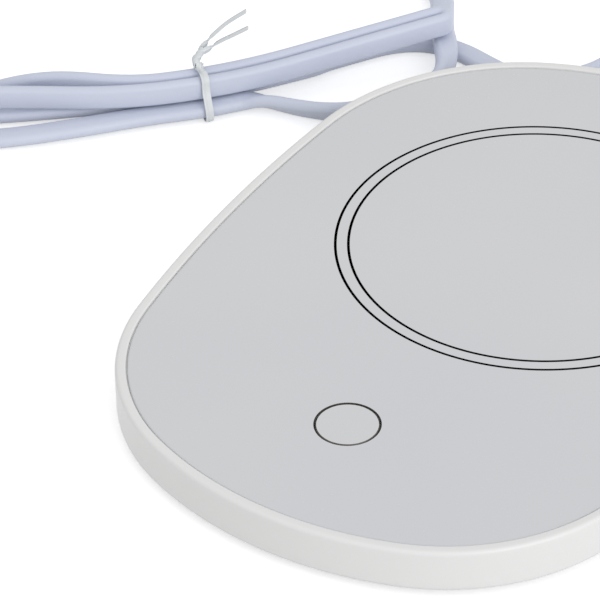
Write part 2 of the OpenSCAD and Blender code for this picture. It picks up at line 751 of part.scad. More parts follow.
// each run: places across, heights and rolls, at the waist, the left and the right end
runs = [
    [[3.1, 0.8, 3.2], [2.2, 1.5, 1.5], [180, 180, 180]],
    [[1.75, 8.4, -1.9], [6.8, 1.5, 9.5], [90, 180, 90]],
    [[-1.75, -0.2, -5.2], [6.8, 7, 9.5], [90, 90, 90]],
    [[-3.1, -8.8, -5], [2.2, 1.5, 1.8], [180, 180, 150]]];
function eased(t) = let(k = min(max(t, 0), 1)) (1 - cos(180*k))/2;
// runs spread from the tie at once, and sink and turn over further out on the left
function at_run(j, s, key) = let(v = runs[j][key], start = key == 0 ? waist_half : waist_drop)
    s < 0 ? v[0] + (v[1] - v[0])*eased((-s - start)/waist_fade)
          : v[0] + (v[2] - v[0])*eased((s - waist_half)/waist_fade);
function run_place(j, s) = [s, at_run(j, s, 0), at_run(j, s, 1), at_run(j, s, 2)];
function run_places(j, s0, s1, n) = [for (k = [0:n]) run_place(j, s0 + (s1 - s0)*k/n)];
// half loop from the end of one run to the start of the next
function fold_places(ja, jb, s, way, n) =
    let(a = run_place(ja, s), b = run_place(jb, s), middle = (a + b)/2, half = (a - b)/2)
    [for (k = [1:n - 1]) let(t = 180*k/n, e = eased(k/n))
        [s + way*1.15*abs(half[1])*sin(t), middle[1] + half[1]*cos(t),
         a[2] + (b[2] - a[2])*e, a[3] + (b[3] - a[3])*e]];
// the spine: an arc through the tie with straight ends
function spine(s) =
    let(k = min(max(s, spine_bend[0]), spine_bend[1]),
        a = tie_heading + k/spine_r*180/PI, b = tie_heading,
        p = tie_at + spine_r*([-sin(b), cos(b)] - [-sin(a), cos(a)]))
    [p + (s - k)*[cos(a), sin(a)], [-sin(a), cos(a)]];
function on_spine(q) = let(p = spine(q[0]))
    [p[0][0] + q[1]*p[1][0], p[0][1] + q[1]*p[1][1], q[2], q[3]];
function hank_path(fine) = [for (q = concat(
    run_places(0, hank_start, left_end, 7*fine), fold_places(0, 1, left_end, -1, 5*fine),
    run_places(1, left_end, right_end, 9*fine), fold_places(1, 2, right_end, 1, 5*fine),
    run_places(2, right_end, left_end + end_stagger, 9*fine),
    fold_places(2, 3, left_end + end_stagger, -1, 5*fine),
    run_places(3, left_end + end_stagger, hank_stop, 7*fine))) on_spine(q)];

// least gap of the hank to itself: distances between the lines of its cores
function core_lines(path) = [for (i = [0:len(path) - 1])
    ring_at(path[i], ahead_at(path, i), [for (s = [-1, 0, 1]) [s*(lead_w - lead_t)/2, 0]])];
function far_from_line(p, a, b) =
    let(d = b - a, t = min(max(((p - a)*d)/(d*d), 0), 1)) norm(p - a - t*d);
function lengths_along(path) = [for (i = 0, d = 0; i < len(path);
    d = d + (i < len(path) - 1 ? norm(xyz(path[i + 1]) - xyz(path[i])) : 0), i = i + 1) d];
function least_gap(path) =
    let(lines = core_lines(path), run = lengths_along(path), apart = 4*lead_w)
    min([for (i = [0:len(path) - 2]) for (j = [0:len(path) - 2])
        if (abs(run[i] - run[j]) > apart && norm(lines[i][1] - lines[j][1]) < apart)
        for (a = lines[i]) for (k = [0:2]) far_from_line(a, lines[j][k], lines[j + 1][k])]) - lead_t;

// The plug lies beyond the hank; its lead passes over the other one and under the hank.
plug_tip = [-113.5, 95.5];
plug_heading = 216;
plug_h = 11.2;
// a place on the lead, at a distance ahead of the plug
function plug_lead_place(d) =
    [plug_tip[0] - d*cos(plug_heading), plug_tip[1] - d*sin(plug_heading), plug_h/2, 0];
plug_route = [
    [-83.2, 39.9, 2.6, 140], [-77, 41.5, 2.6, 127], [-71.5, 43.2, 2.7, 120],
    [-66.5, 45.8, 2.8, 105], [-62.8, 50, 2.9, 95], [-59.4, 56.5, 2.9, 90], [-57, 63, 2.9, 90],
    [-56.6, 68, 2.95, 85], [-57.9, 72.5, 3.6, 55], [-59.8, 75.8, 4.6, 15], [-62.2, 79, 4.7, 2],
    [-65, 82.3, 4.7, 0], [-67.5, 86, 4.6, 0], [-70, 90, 4.1, 0], [-73.2, 94.8, 3.2, 0],
    [-77.6, 99, 2.2, 0], [-83.5, 102.2, 1.7, 0], [-89.5, 103.9, 1.9, 0], [-95.5, 104, 3, 0],
    [-100.4, 103.2, 4.5, 0],
    plug_lead_place(2*lead_w), plug_lead_place(lead_w), plug_lead_place(0)];

module cord_lead() {
    joined = concat(lead_route, [for (d = [lead_w, 0]) on_spine(run_place(0, hank_start + d))]);
    color([0.82, 0.84, 0.91]) tube(smooth(joined, 3), flat_section(lead_w, lead_t, 8));
}

module cord_hank() {
    echo(hank_gap_to_itself = least_gap(hank_path(3)));
    color([0.82, 0.84, 0.91]) tube(hank_path(1), flat_section(lead_w, lead_t, 6));
}

module plug_lead() {
    joined = concat([for (d = [0, lead_w]) on_spine(run_place(3, hank_stop + d))], plug_route);
    color([0.82, 0.84, 0.91]) tube(smooth(joined, 3), flat_section(lead_w, lead_t, 8));
}

// ---- what lies on the lead ----
tie_w = 1.8;
tie_t = 0.55;
// half of the band round the bundle at the waist, from below, as [across, height]
tie_half = [[0, 0.1], [5.5, 0.1], [6.9, 1], [7, 3], [6.2, 4.8], [4.4, 6.6], [4.2, 9.3],
    [3, 10.5], [0, 10.6]];
tie_band = concat(tie_half, [for (k = [len(tie_half) - 2:-1:1]) [-tie_half[k][0], tie_half[k][1]]]);
// the twisted knot and the two loose ends, from the top of the loop
tie_knot = [[0, 0.3, 10.3, 0], [-0.8, 0.8, 11.2, 0], [-0.8, 1.3, 12.2, 0],
    [0, 1.6, 13.4, 0], [0.9, 1.8, 14.3, 0]];
tie_tails = [
    [[0.5, 1.8, 13.9, 0], [2.2, 2.9, 15.6, 0], [4.1, 3.4, 17, 0], [7.3, 3.9, 19, 0],
        [11.4, 2.9, 22, 0]],
    [[0.5, 1.4, 13.7, 0], [2.4, 1.5, 14.6, 0], [4.9, 2, 15.6, 0], [7.7, 1.5, 17, 0],
        [11.2, 0.6, 19, 0]]];
// from along, across and height at the tie to the model's axes
function at_tie(q) = let(c = cos(tie_heading), s = sin(tie_heading))
    [tie_at[0] + q[0]*c - q[1]*s, tie_at[1] + q[0]*s + q[1]*c, q[2], q[3]];

module twist_tie() {
    n = len(tie_band);
    inner = [for (i = [0:n - 1]) let(q = tie_band[(i + 1)%n] - tie_band[(i + n - 1)%n])
        tie_band[i] + tie_t*[-q[1], q[0]]/norm(q)];
    color([0.9, 0.92, 0.88]) {
        translate([tie_at[0], tie_at[1], 0]) rotate(tie_heading) rotate([90, 0, 90])
            translate([0, 0, -tie_w/2]) linear_extrude(tie_w) difference() {
                polygon(tie_band);
                polygon(inner);
            }
        tube(smooth([for (q = tie_knot) at_tie(q)], 2), flat_section(2.1, 1.5, 8));
        for (t = tie_tails) tube(smooth([for (q = t) at_tie(q)], 3), flat_section(1.3, 0.7, 8));
    }
}

plug_l = 27;
plug_w = 19;
plug_relief_l = 14;
blade_l = 17;
blade_w = 6.3;
blade_t = 1.5;
blade_apart = 12.7;

module at_plug() {
    translate([plug_tip[0], plug_tip[1], plug_h/2]) rotate(plug_heading) children();
}
// a slice of the plug's body: a flat oval, w by h, at a distance from its lead
module plug_slice(x, w, h) {
    translate([x, 0, 0]) rotate([90, 0, 90]) linear_extrude(0.2) hull()
        for (s = [-1, 1]) translate([s*(w - h)/2, 0]) circle(d = h, $fn = 32);
}

module plug_body() {
    relief = [[0, 7, 4.4], [plug_relief_l, 9, 6]];
    front = plug_relief_l + plug_l;
    shape = [[plug_relief_l - 1, 12, 8.4], [plug_relief_l + 6, 16.5, 10.6],
        [front - 3, plug_w, plug_h], [front - 0.2, plug_w - 1, plug_h - 1]];
    color([0.84, 0.86, 0.92]) at_plug() {
        hull() for (p = relief) plug_slice(p[0], p[1], p[2]);
        for (k = [0:2]) hull() {
            plug_slice(shape[k][0], shape[k][1], shape[k][2]);
            plug_slice(shape[k + 1][0], shape[k + 1][1], shape[k + 1][2]);
        }
    }
}

module plug_blades() {
    root = plug_relief_l + plug_l;
    hole_d = 3.2;
    color([0.85, 0.83, 0.75]) at_plug() for (s = [-1, 1]) translate([root, s*blade_apart/2, 0])
        rotate([90, 0, 0]) translate([0, 0, -blade_t/2]) linear_extrude(blade_t) difference() {
            polygon([[0, -blade_w/2], [blade_l - 1.2, -blade_w/2], [blade_l, -blade_w/2 + 1.2],
                [blade_l, blade_w/2 - 1.2], [blade_l - 1.2, blade_w/2], [0, blade_w/2]]);
            translate([blade_l - 5.3, 0]) circle(d = hole_d, $fn = 48);
        }
}

housing();
base_cover();
rubber_feet();
base_screws();
top_plate();
plate_gasket();
ring_print();
heat_spreader();
heating_element();
insulation_pad();
clamp_plate();
clamp_plate_screws();
thermal_fuse();
temperature_sensor();
control_board();
board_screws();
board_chips();
film_capacitor();
status_led();
switch_body();
switch_plunger();
button_cap();
button_guide();
cord_clamp();
cord_clamp_screws();
inner_cord();
mains_wires();
heater_wires();
strain_relief();
cord_lead();
cord_hank();
plug_lead();
twist_tie();
plug_body();
plug_blades();
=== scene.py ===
import math

import bpy
import numpy as np
from mathutils import Matrix, Vector


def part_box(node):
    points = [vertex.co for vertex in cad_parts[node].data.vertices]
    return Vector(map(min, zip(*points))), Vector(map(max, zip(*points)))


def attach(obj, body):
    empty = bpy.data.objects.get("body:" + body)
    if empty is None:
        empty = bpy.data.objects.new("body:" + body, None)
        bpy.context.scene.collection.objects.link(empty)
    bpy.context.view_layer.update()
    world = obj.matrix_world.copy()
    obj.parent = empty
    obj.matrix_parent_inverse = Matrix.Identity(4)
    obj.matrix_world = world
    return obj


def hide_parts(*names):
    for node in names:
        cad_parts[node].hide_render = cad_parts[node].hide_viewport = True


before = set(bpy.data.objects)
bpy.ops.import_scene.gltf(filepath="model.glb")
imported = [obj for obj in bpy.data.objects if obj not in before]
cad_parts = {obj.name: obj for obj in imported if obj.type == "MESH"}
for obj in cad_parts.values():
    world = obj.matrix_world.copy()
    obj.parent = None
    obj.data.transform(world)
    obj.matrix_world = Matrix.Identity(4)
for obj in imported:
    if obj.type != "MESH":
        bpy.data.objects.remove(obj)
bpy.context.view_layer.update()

# ---- Camera ----
# The picture is taken from in front and to the right of the body, with a long lens on a
# tripod. The azimuth counts from the body's middle line and the elevation from the table.
mm = 0.001
camera_azimuth, camera_elevation, camera_roll = 35.11, 37.31, -1.0
camera_distance = 783.96
camera_lens, camera_sensor = 228.5, 36.0
camera_aim = (-36.67, -15.63, 2.47)
# what the camera draws starts and ends at these distances from it, in metres
nearest_seen, farthest_seen = 0.05, 20


def camera_axes(azimuth, elevation, roll):
    """The camera's right, up and back directions, from its angles in degrees."""
    a, e, r = (math.radians(v) for v in (azimuth, elevation, roll))
    back = Vector((math.sin(a)*math.cos(e), -math.cos(a)*math.cos(e), math.sin(e)))
    level = Vector((math.cos(a), math.sin(a), 0))
    rise = back.cross(level)
    right = math.cos(r)*level + math.sin(r)*rise
    up = -math.sin(r)*level + math.cos(r)*rise
    return right, up, back


camera = bpy.data.objects.new("camera", bpy.data.cameras.new("camera"))
camera.data.lens, camera.data.sensor_width = camera_lens, camera_sensor
camera.data.clip_start, camera.data.clip_end = nearest_seen, farthest_seen
right, up, back = camera_axes(camera_azimuth, camera_elevation, camera_roll)
place = Matrix((right, up, back)).transposed().to_4x4()
place.translation = (Vector(camera_aim) + camera_distance*back)*mm
camera.matrix_world = place
bpy.context.scene.collection.objects.link(camera)
bpy.context.scene.camera = camera
bpy.context.scene.view_settings.view_transform = "Standard"

# ---- Mains lead ----
# A flat two-core lead of 0.90 m in pale lilac vinyl. It is extruded round its cores, comes
# out of the strain relief, is folded into a hank of four runs at the factory, and ends in
# the plug. It lies on the table under its own weight.
lead_w, lead_t = 5.5, 2.8
lead_sides, route_steps = 24, 5
exit_place = (0, 104, 5.8)

# from the exit to the hank: [x, y, height, roll]; a roll of 90 stands the lead on its edge
lead_route = [
    [0, 104, 5.8, 180], [0, 108, 5.75, 178], [-0.6, 112, 5.1, 160], [-2.6, 116, 4.2, 130],
    [-7, 119.3, 3.4, 105], [-13, 120, 2.9, 90], [-19.5, 117.5, 2.9, 90], [-24, 112, 2.9, 90],
    [-26.5, 105, 2.9, 90], [-27.3, 97, 2.9, 92], [-28.5, 89.5, 2.9, 105], [-31.5, 84, 2.6, 130],
    [-36.5, 80.3, 1.9, 165], [-43, 78.9, 1.5, 180], [-50.5, 79.8, 1.5, 180],
    [-58.5, 81.2, 1.5, 180], [-65.5, 80.8, 1.5, 180], [-70.8, 78.3, 1.5, 180],
    [-75.1, 74, 1.5, 180], [-78.9, 67.8, 1.5, 180], [-82.4, 61.2, 1.6, 180]]

# the hank: a spine that bends at the tie, and four runs beside and on each other
tie_at, tie_heading = np.array([-96.2, 32.9]), 50
spine_r, spine_bend = 120, (-30, 22)
left_end, right_end, end_stagger = -118, 56, 12
waist_half, waist_drop, waist_fade = 8, 24, 40
hank_start, hank_stop = 22, 3
# rings in a half run, a whole run and a fold, and how many times as many the skin has
half_rings, run_rings, fold_rings, hank_fine = 7, 9, 5, 10
fold_bulge = 1.15
# each run: places across, heights and rolls, at the waist, the left and the right end
runs = [
    [[3.1, 0.8, 3.2], [2.2, 1.5, 1.5], [180, 180, 180]],
    [[1.75, 8.4, -1.9], [6.8, 1.5, 9.5], [90, 180, 90]],
    [[-1.75, -0.2, -5.2], [6.8, 7, 9.5], [90, 90, 90]],
    [[-3.1, -8.8, -5], [2.2, 1.5, 1.8], [180, 180, 150]]]

# from the hank to the plug, over the other lead and under the hank
plug_tip, plug_heading, plug_h = np.array([-113.5, 95.5]), 216, 11.2
plug_route = [
    [-83.2, 39.9, 2.6, 140], [-77, 41.5, 2.6, 127], [-71.5, 43.2, 2.7, 120],
    [-66.5, 45.8, 2.8, 105], [-62.8, 50, 2.9, 95], [-59.4, 56.5, 2.9, 90], [-57, 63, 2.9, 90],
    [-56.6, 68, 2.95, 85], [-57.9, 72.5, 3.6, 55], [-59.8, 75.8, 4.6, 15], [-62.2, 79, 4.7, 2],
    [-65, 82.3, 4.7, 0], [-67.5, 86, 4.6, 0], [-70, 90, 4.1, 0], [-73.2, 94.8, 3.2, 0],
    [-77.6, 99, 2.2, 0], [-83.5, 102.2, 1.7, 0], [-89.5, 103.9, 1.9, 0], [-95.5, 104, 3, 0],
    [-100.4, 103.2, 4.5, 0]]


def eased(t):
    """A share from 0 to 1 that starts and ends gently."""
    return (1 - math.cos(math.pi*min(max(t, 0), 1)))/2


def run_place(run, s):
    """A place on a run of the hank: along, across, height and roll."""
    place = [s]
    for key, (waist, left, right) in enumerate(runs[run]):
        start = waist_half if key == 0 else waist_drop
        share = eased((-s - start)/waist_fade) if s < 0 else eased((s - waist_half)/waist_fade)
        place.append(waist + ((left if s < 0 else right) - waist)*share)
    return np.array(place)


def run_places(run, s0, s1, count):
    """Evenly spaced places along a run, from s0 to s1."""
    return [run_place(run, s0 + (s1 - s0)*k/count) for k in range(count + 1)]


def fold_places(run_a, run_b, s, way, count):
    """The half loop from the end of one run to the start of the next."""
    a, b = run_place(run_a, s), run_place(run_b, s)
    middle, half = (a + b)/2, (a - b)/2
    places = []
    for k in range(1, count):
        t, share = math.pi*k/count, eased(k/count)
        places.append(np.array([
            s + way*fold_bulge*abs(half[1])*math.sin(t), middle[1] + half[1]*math.cos(t),
            a[2] + (b[2] - a[2])*share, a[3] + (b[3] - a[3])*share]))
    return places


def on_spine(q):
    """From along, across, height and roll to the model's axes: an arc with straight ends."""
    k = min(max(q[0], spine_bend[0]), spine_bend[1])
    b = math.radians(tie_heading)
    a = b + k/spine_r
    p = tie_at + spine_r*(np.array([-math.sin(b), math.cos(b)])
                          - np.array([-math.sin(a), math.cos(a)]))
    x, y = (p + (q[0] - k)*np.array([math.cos(a), math.sin(a)])
            + q[1]*np.array([-math.sin(a), math.cos(a)]))
    return [x, y, q[2], q[3]]


def hank_places(fine):
    """Four runs and the three folds between them, from the exit's end to the plug's."""
    far, half, run, fold = left_end + end_stagger, half_rings*fine, run_rings*fine, fold_rings*fine
    return [on_spine(q) for q in (
        run_places(0, hank_start, left_end, half) + fold_places(0, 1, left_end, -1, fold)
        + run_places(1, left_end, right_end, run) + fold_places(1, 2, right_end, 1, fold)
        + run_places(2, right_end, far, run) + fold_places(2, 3, far, -1, fold)
        + run_places(3, far, hank_stop, half))]


def smooth(route, steps):
    """A smooth curve through the points of a route, with steps rings between them."""
    route, curve = np.array(route, float), []
    for i in range(len(route) - 1):
        a, b, c, d = (route[min(max(k, 0), len(route) - 1)] for k in (i - 1, i, i + 1, i + 2))
        for t in np.arange(steps)/steps:
            curve.append(0.5*(2*b + (c - a)*t + (2*a - 5*b + 4*c - d)*t**2
                              + (3*b - a - 3*c + d)*t**3))
    return curve + [route[-1]]


def flat_section(w, t, sides):
    """The lead's section, two half circles joined by flats, as (across, through) pairs."""
    section = []
    for k in range(sides):
        c, s = math.cos(2*math.pi*k/sides), math.sin(2*math.pi*k/sides)
        flat = 0 if abs(c) < 0.001 else math.copysign((w - t)/2, c)
        section.append((flat + t/2*c, t/2*s))
    return section


def tube_rings(route, section):
    """One ring of points for each place of the route, square to it and turned by its roll."""
    places = np.array(route, float)
    ahead = np.gradient(places[:, :3], axis=0)
    rings = []
    for p, along in zip(places, ahead):
        along = Vector(along).normalized()
        side = Vector((-along.y, along.x, 0)).normalized()
        rise = along.cross(side)
        r = math.radians(p[3])
        across = math.cos(r)*side + math.sin(r)*rise
        through = math.cos(r)*rise - math.sin(r)*side
        rings.append([Vector(p[:3]) + a*across + b*through for a, b in section])
    return rings


def shade(mesh, sharp_angle=35):
    """The mesh is smooth but for the edges that are sharper than this angle, in degrees."""
    mesh.shade_smooth()
    mesh.set_sharp_from_angle(angle=math.radians(sharp_angle))


def piece_from(name, points, faces, sharp_angle=35):
    """A piece of the object from points in millimetres."""
    mesh = bpy.data.meshes.new(name)
    mesh.from_pydata([Vector(p)*mm for p in points], [], faces)
    mesh.validate()
    shade(mesh, sharp_angle)
    piece = bpy.data.objects.new(name, mesh)
    bpy.context.scene.collection.objects.link(piece)
    return piece


def skin(rings, closed=False, capped=True):
    """Points and faces of a skin through rings of points; closed joins the last to the first."""
    n, m = len(rings), len(rings[0])
    faces = []
    for i in range(n if closed else n - 1):
        a, b = i*m, (i + 1) % n*m
        faces += [(a + k, a + (k + 1) % m, b + (k + 1) % m, b + k) for k in range(m)]
    if capped and not closed:
        faces += [tuple(range(m))[::-1], tuple((n - 1)*m + k for k in range(m))]
    return [p for ring in rings for p in ring], faces


def grain_group():
    """Grain for every finish: slow tone, fine tone and relief, from two scales in 1/m."""
    group = bpy.data.node_groups.new("surface_grain", "ShaderNodeTree")
    for name, socket in (("Vector", "NodeSocketVector"), ("Slow", "NodeSocketFloat"),
                         ("Fine", "NodeSocketFloat")):
        group.interface.new_socket(name=name, in_out="INPUT", socket_type=socket)
    for name in ("Slow Tone", "Fine Tone", "Relief"):
        group.interface.new_socket(name=name, in_out="OUTPUT", socket_type="NodeSocketFloat")
    nodes, link = group.nodes, group.links.new
    inside, outside = nodes.new("NodeGroupInput"), nodes.new("NodeGroupOutput")
    for scale, output, detail in (("Slow", "Slow Tone", 3), ("Fine", "Fine Tone", 6),
                                  ("Fine", "Relief", 2)):
        noise = nodes.new("ShaderNodeTexNoise")
        noise.inputs["Detail"].default_value = detail
        link(inside.outputs["Vector"], noise.inputs["Vector"])
        link(inside.outputs[scale], noise.inputs["Scale"])
        link(noise.outputs["Fac"], outside.inputs[output])
    return group


surface_grain = grain_group()


def finish(name, colour, near_colour, roughness, slow=60, fine=2500, relief=0.00002,
           metallic=0, stretch=(1, 1, 1), **sockets):
    """A finish: two near colours mixed by slow grain, roughness by fine grain, and relief."""
    material = bpy.data.materials.new(name)
    material.use_nodes = True
    nodes, link = material.node_tree.nodes, material.node_tree.links.new
    shader = nodes["Principled BSDF"]
    where, turn = nodes.new("ShaderNodeTexCoord"), nodes.new("ShaderNodeMapping")
    turn.inputs["Scale"].default_value = stretch
    link(where.outputs["Object"], turn.inputs["Vector"])
    grain = nodes.new("ShaderNodeGroup")
    grain.node_tree = surface_grain
    grain.inputs["Slow"].default_value, grain.inputs["Fine"].default_value = slow, fine
    link(turn.outputs["Vector"], grain.inputs["Vector"])
    mix = nodes.new("ShaderNodeMix")
    mix.data_type = "RGBA"
    mix.inputs["A"].default_value = (*colour, 1)
    mix.inputs["B"].default_value = (*near_colour, 1)
    link(grain.outputs["Slow Tone"], mix.inputs["Factor"])
    link(mix.outputs["Result"], shader.inputs["Base Color"])
    spread = nodes.new("ShaderNodeMapRange")
    spread.inputs["To Min"].default_value, spread.inputs["To Max"].default_value = roughness
    link(grain.outputs["Fine Tone"], spread.inputs["Value"])
    link(spread.outputs["Result"], shader.inputs["Roughness"])
    bump = nodes.new("ShaderNodeBump")
    bump.inputs["Strength"].default_value = 1
    bump.inputs["Distance"].default_value = relief
    link(grain.outputs["Relief"], bump.inputs["Height"])
    link(bump.outputs["Normal"], shader.inputs["Normal"])
    shader.inputs["Metallic"].default_value = metallic
    for socket, value in sockets.items():
        shader.inputs[socket.replace("_", " ")].default_value = value
    return material


def wear(piece, material):
    """The piece, or CAD node, shows this finish all over."""
    piece.data.materials.clear()
    piece.data.materials.append(material)
    for face in piece.data.polygons:
        face.material_index = 0


def plug_lead_place(d):
    """A place on the straight lead that ends in the plug, at distance d from it."""
    turn = math.radians(plug_heading)
    return [plug_tip[0] - d*math.cos(turn), plug_tip[1] - d*math.sin(turn), plug_h/2, 0]


to_hank = smooth(lead_route + [on_spine(run_place(0, hank_start + d)) for d in (lead_w, 0)],
                 route_steps)
in_hank = hank_places(hank_fine)
to_plug = smooth([on_spine(run_place(3, hank_stop + d)) for d in (0, lead_w)] + plug_route
                 + [plug_lead_place(d) for d in (2*lead_w, lead_w, 0)], route_steps)
lead_path = to_hank[:-1] + in_hank[:-1] + to_plug
mains_lead = piece_from("mains_lead", *skin(tube_rings(
    lead_path, flat_section(lead_w, lead_t, lead_sides))), sharp_angle=60)
lead_vinyl = finish(
    "lead_vinyl", (0.63, 0.67, 0.79), (0.60, 0.64, 0.76), (0.38, 0.48), slow=70, fine=1800,
    relief=0.00003, Specular_IOR_Level=0.45)
wear(mains_lead, lead_vinyl)
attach(mains_lead, "body")
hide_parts("cord_lead", "cord_hank", "plug_lead")

# ---- Strain relief ----
# A soft vinyl sleeve, moulded over the lead where it leaves the back wall. Its flange sits
# in the housing, and its ribs get smaller towards the lead so that it bends evenly.
wall_back = 84
relief_l, relief_ribs, relief_sides = 20, 5, 40
relief_root, relief_tip = (lead_w + 4.5, lead_t + 2.8), (lead_w + 1.5, lead_t + 1.4)
relief_neck, relief_flange_w, relief_flange_t = (9, 4.2), 12.5, 1.4
# the flange's outer face, and how far the neck stands out of the wall
relief_flange_y, neck_out = 81.49, 0.2
# the ribs start here, and each has bevelled edges and steep sides; the tip has such an edge too
rib_start, rib_edge, rib_step = 0.3, 0.3, 0.05
last_rib = (relief_tip[0] + 0.8, relief_tip[1] + 0.6)
# corner radii round the sleeve, from the housing outwards
flange_corner, neck_corner, groove_corner, edge_corner, rib_corner, tip_corner = (
    0.8, 1, 1.4, 1.5, 1.7, 1.2)


def rounded_slice(w, h, corner, sides):
    """A rectangle of w by h with round corners, as (across, up) pairs."""
    corner = min(corner, w/2 - 0.01, h/2 - 0.01)
    section = []
    for k in range(sides):
        turn = 2*math.pi*(k + 0.5)/sides
        c, s = math.cos(turn), math.sin(turn)
        section.append((math.copysign(w/2 - corner, c) + corner*c,
                        math.copysign(h/2 - corner, s) + corner*s))
    return section


def relief_profile():
    """Distances along the sleeve with its width, height and corner radius there."""
    y0 = relief_flange_y - wall_back
    flange, neck = (relief_flange_w, relief_neck[1], flange_corner), (*relief_neck, neck_corner)
    groove = (*relief_tip, groove_corner)
    profile = [(y0 - relief_flange_t, *flange), (y0 - rib_step, *flange),
               (y0, *neck), (neck_out, *neck)]
    rib_l = (relief_l - rib_start)/(2*relief_ribs)
    for k in range(relief_ribs):
        share, start = k/(relief_ribs - 1), rib_start + 2*k*rib_l
        w, h = ((1 - share)*root + share*last for root, last in zip(relief_root, last_rib))
        edge = (w - 2*rib_edge, h - 2*rib_edge, edge_corner)
        profile += [(start, *groove), (start + rib_step, *edge),
                    (start + rib_edge, w, h, rib_corner),
                    (start + rib_l - rib_edge, w, h, rib_corner),
                    (start + rib_l - rib_step, *edge), (start + rib_l, *groove)]
    tip = (relief_tip[0] - 2*rib_edge, relief_tip[1] - 2*rib_edge, tip_corner)
    return profile + [(relief_l - rib_edge, *groove), (relief_l, *tip)]


relief_rings = [[(a, wall_back + d, exit_place[2] + b)
                 for a, b in rounded_slice(w, h, corner, relief_sides)]
                for d, w, h, corner in relief_profile()]
strain_sleeve = piece_from("strain_sleeve", *skin(relief_rings), sharp_angle=40)
sleeve_vinyl = finish(
    "sleeve_vinyl", (0.64, 0.68, 0.79), (0.60, 0.64, 0.75), (0.45, 0.56), slow=90, fine=3000,
    relief=0.00004)
wear(strain_sleeve, sleeve_vinyl)
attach(strain_sleeve, "body")
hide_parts("strain_relief")

# ---- Plug ----
# A two-blade plug, moulded in the same vinyl as the lead, with a ribbed sleeve and finger
# grips on its sides. The blades are stamped from nickel-plated brass and moulded in.
plug_sides, plug_sleeve_l, plug_body_l, plug_w = 48, 14, 27, 19
# the sleeve's width and height at the lead, and how much they grow up to the body; the bevel
# at its end has this length, and takes this much off the width and the height
sleeve_start, sleeve_growth, sleeve_bevel = (7, 4.4), (2, 1.6), (0.4, 0.6, 0.5)
# its ribs: distance from the rib's start, and what it adds to the sleeve's width and height
plug_ribs, plug_ribs_from, plug_rib_step = 5, 1.2, 2.6
plug_rib = [(0, -0.5, -0.4), (0.25, 0, 0), (1.05, 0.1, 0.1), (1.3, -0.4, -0.3)]
# the body's shoulder: distance from the sleeve, width and height
plug_shoulder = [(-0.2, 9, 6), (0, 11, 7.6), (0.8, 12.6, 8.8), (3, 14.6, 9.7), (6, 16.5, 10.6)]
# its finger grips: distance from the groove's start, width and height; each is a little wider
plug_grips, plug_grips_from, plug_grip_step, plug_grip_growth = 5, 7.5, 2.4, 0.36
plug_grip = [(0, 16.7, 10.7), (0.3, 16, 10.65), (0.9, 16, 10.65), (1.2, 16.8, 10.75)]
# its front: distance from the end, and how much narrower and thinner it is there
plug_front = [(3, 0), (0.9, 0.1), (0.3, 0.5), (0, 1.6)]


def plug_profile():
    """Distances from the lead with the plug's width and height there."""
    bevel_l, less_w, less_h = sleeve_bevel
    profile = [(0, sleeve_start[0] - less_w, sleeve_start[1] - less_h), (bevel_l, *sleeve_start)]
    for k in range(plug_ribs):
        at, share = plug_ribs_from + plug_rib_step*k, k/plug_ribs
        w, h = (start + share*growth for start, growth in zip(sleeve_start, sleeve_growth))
        profile += [(at + d, w + more_w, h + more_h) for d, more_w, more_h in plug_rib]
    profile += [(plug_sleeve_l + d, w, h) for d, w, h in plug_shoulder]
    for k in range(plug_grips):
        at = plug_sleeve_l + plug_grips_from + plug_grip_step*k
        profile += [(at + d, w + plug_grip_growth*k, h) for d, w, h in plug_grip]
    front = plug_sleeve_l + plug_body_l
    return profile + [(front - d, plug_w - less, plug_h - less) for d, less in plug_front]


plug_turn = math.radians(plug_heading)
plug_along = Vector((math.cos(plug_turn), math.sin(plug_turn), 0))
plug_across = Vector((-math.sin(plug_turn), math.cos(plug_turn), 0))
plug_start = Vector((plug_tip[0], plug_tip[1], plug_h/2))
plug_rings = [[plug_start + d*plug_along + a*plug_across + Vector((0, 0, b))
               for a, b in flat_section(w, h, plug_sides)] for d, w, h in plug_profile()]
plug_shell = piece_from("plug_shell", *skin(plug_rings), sharp_angle=50)
wear(plug_shell, sleeve_vinyl)
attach(plug_shell, "body")
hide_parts("plug_body")

blade_nickel = finish(
    "blade_nickel", (0.70, 0.66, 0.56), (0.62, 0.58, 0.50), (0.18, 0.32), slow=300, fine=6000,
    relief=0.00001, metallic=1, stretch=(1, 1, 12))
wear(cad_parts["plug_blades"], blade_nickel)

# ---- Twist tie ----
# A paper-thin plastic strip with a soft iron wire down its middle. It is bent round the hank
# by hand, its ends are twisted together for one and a half turns, and what is left stands up.
strip_w, strip_t, wire_t = 1.8, 0.16, 0.5
# half of the band round the bundle, from below, as (across, height)
band_half = [(0, 0.28), (2.8, 0.28), (5.3, 0.3), (6.5, 1.0), (6.75, 2.0), (6.5, 3.4), (5.4, 4.9),
             (4.1, 6.6), (3.75, 8.2), (3.7, 9.4), (3.1, 10.1), (1.6, 10.35)]
knot_line = [(0, 0.3, 10.5), (-0.8, 0.8, 11.2), (-0.8, 1.3, 12.2), (0, 1.6, 13.4), (0.9, 1.8, 14.3)]
tie_ends = [[(2.2, 2.9, 15.6), (4.1, 3.4, 17), (7.3, 3.9, 19), (11.2, 2.9, 21.8)],
            [(2.4, 1.5, 14.6), (4.9, 2, 15.6), (7.7, 1.5, 17), (11, 0.6, 18.9)]]
knot_r, knot_turns = 0.62, 1.5
# the strip's rings are this far apart, on curves with this many steps between two points
knot_step, tail_step, band_step, curve_steps = 0.25, 0.4, 0.3, 8
# the tails turn flat within this many steps, and then their width lies this way
tail_turn_steps, tail_flat = 8, (0.05, -0.98, 0.2)
